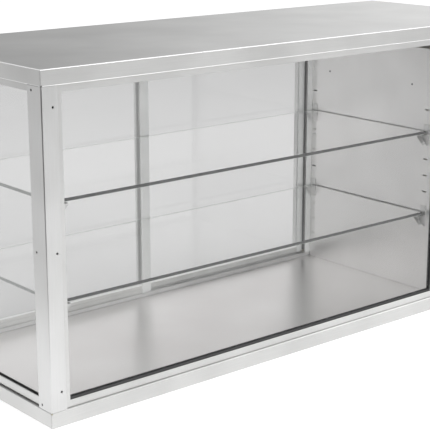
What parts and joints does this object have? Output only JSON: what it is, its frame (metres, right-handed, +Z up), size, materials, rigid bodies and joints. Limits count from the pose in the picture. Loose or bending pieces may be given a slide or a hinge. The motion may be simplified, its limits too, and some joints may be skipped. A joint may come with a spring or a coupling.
{
  "type": "refrigerated display case",
  "caption": "Countertop refrigerated display case: glass front and left end, two glass shelves on hook-in brackets, sliding rear doors, stainless shell, closed refrigeration bay at the right.",
  "frame": {"origin": "centre of the flat underside", "axes": "+Z up, the glazed front faces -Y, the closed refrigeration bay is at +X"},
  "size_m": [1.222, 0.447, 0.6],
  "materials": {
    "steel": "fine satin stainless sheet",
    "bracket_steel": "satin stainless sheet, folded",
    "aluminium": "satin anodised extrusion",
    "fin_aluminium": "thin bare fins",
    "glass": "clear float glass with polished edges",
    "rubber": "matt black channel",
    "foam": "rigid insulation foam",
    "black_plastic": "matt moulded black",
    "black_paint": "semi-gloss black paint",
    "copper": "drawn copper pipe"
  },
  "bodies": {
    "cabinet": {"base_pan": "steel", "roof_cover": "steel", "ceiling_liner": "steel", "front_left_post": "steel", "front_right_post": "steel", "rear_left_post": "steel", "rear_right_post": "steel", "front_frame": "steel", "left_frame": "steel", "floor_tray": "steel", "front_left_upright": "steel", "rear_left_upright": "steel", "partition": "steel", "front_service_panel": "steel", "rear_service_panel": "steel", "right_side_panel": "steel", "fan_deck": "steel", "upper_bracket_left_front": "bracket_steel", "upper_bracket_left_rear": "bracket_steel", "upper_bracket_right_front": "bracket_steel", "upper_bracket_right_rear": "bracket_steel", "lower_bracket_left_front": "bracket_steel", "lower_bracket_left_rear": "bracket_steel", "lower_bracket_right_front": "bracket_steel", "lower_bracket_right_rear": "bracket_steel", "bottom_track": "aluminium", "top_track": "aluminium", "rear_left_jamb": "aluminium", "rear_right_jamb": "aluminium", "evaporator_coil": "fin_aluminium", "condenser_coil": "fin_aluminium", "front_glass": "glass", "left_glass": "glass", "front_glass_seal": "rubber", "left_glass_seal": "rubber", "base_foam": "foam", "roof_foam": "foam", "duct_foam": "foam", "evaporator_fan_frame": "black_plastic", "condenser_fan_shroud": "black_plastic", "drip_tray": "black_plastic", "control_housing": "black_plastic", "cord_gland": "black_plastic", "compressor": "black_paint", "suction_pipe": "copper", "liquid_pipe": "copper"},
    "left_door": {"left_door_glass": "glass", "left_door_end_stile": "aluminium", "left_door_meeting_stile": "aluminium", "left_door_bottom_rail": "aluminium"},
    "right_door": {"right_door_glass": "glass", "right_door_end_stile": "aluminium", "right_door_meeting_stile": "aluminium", "right_door_bottom_rail": "aluminium"},
    "upper_shelf_pane": {"upper_shelf": "glass"},
    "lower_shelf_pane": {"lower_shelf": "glass"},
    "evaporator_fan": {"evaporator_fan_rotor": "black_plastic"},
    "condenser_fan": {"condenser_fan_rotor": "black_plastic"},
    "knob": {"thermostat_knob": "black_plastic"},
    "rocker": {"power_switch": "black_plastic"}
  },
  "joints": [
    {"name": "left_door_slide", "type": "slide", "parent": "cabinet", "child": "left_door", "axis": [1, 0, 0], "range_m": [0, 0.453]},
    {"name": "right_door_slide", "type": "slide", "parent": "cabinet", "child": "right_door", "axis": [1, 0, 0], "range_m": [-0.453, 0]},
    {"name": "upper_shelf_lift", "type": "slide", "parent": "cabinet", "child": "upper_shelf_pane", "axis": [0, 0, 1], "range_m": [0, 0.03]},
    {"name": "lower_shelf_lift", "type": "slide", "parent": "cabinet", "child": "lower_shelf_pane", "axis": [0, 0, 1], "range_m": [0, 0.03]},
    {"name": "evaporator_fan_spin", "type": "hinge", "parent": "cabinet", "child": "evaporator_fan", "pos_m": [0.3959, -0.117, 0.46], "axis": [0, 0, 1], "continuous": true},
    {"name": "condenser_fan_spin", "type": "hinge", "parent": "cabinet", "child": "condenser_fan", "pos_m": [0.5253, 0.1375, 0.1185], "axis": [0, 1, 0], "continuous": true},
    {"name": "thermostat_knob_turn", "type": "hinge", "parent": "cabinet", "child": "knob", "pos_m": [0.5253, 0.2065, 0.44], "axis": [0, 1, 0], "range_deg": [0, 270]},
    {"name": "power_switch_rock", "type": "hinge", "parent": "cabinet", "child": "rocker", "pos_m": [0.5253, 0.1995, 0.386], "axis": [1, 0, 0], "range_deg": [0, 20]}
  ]
}
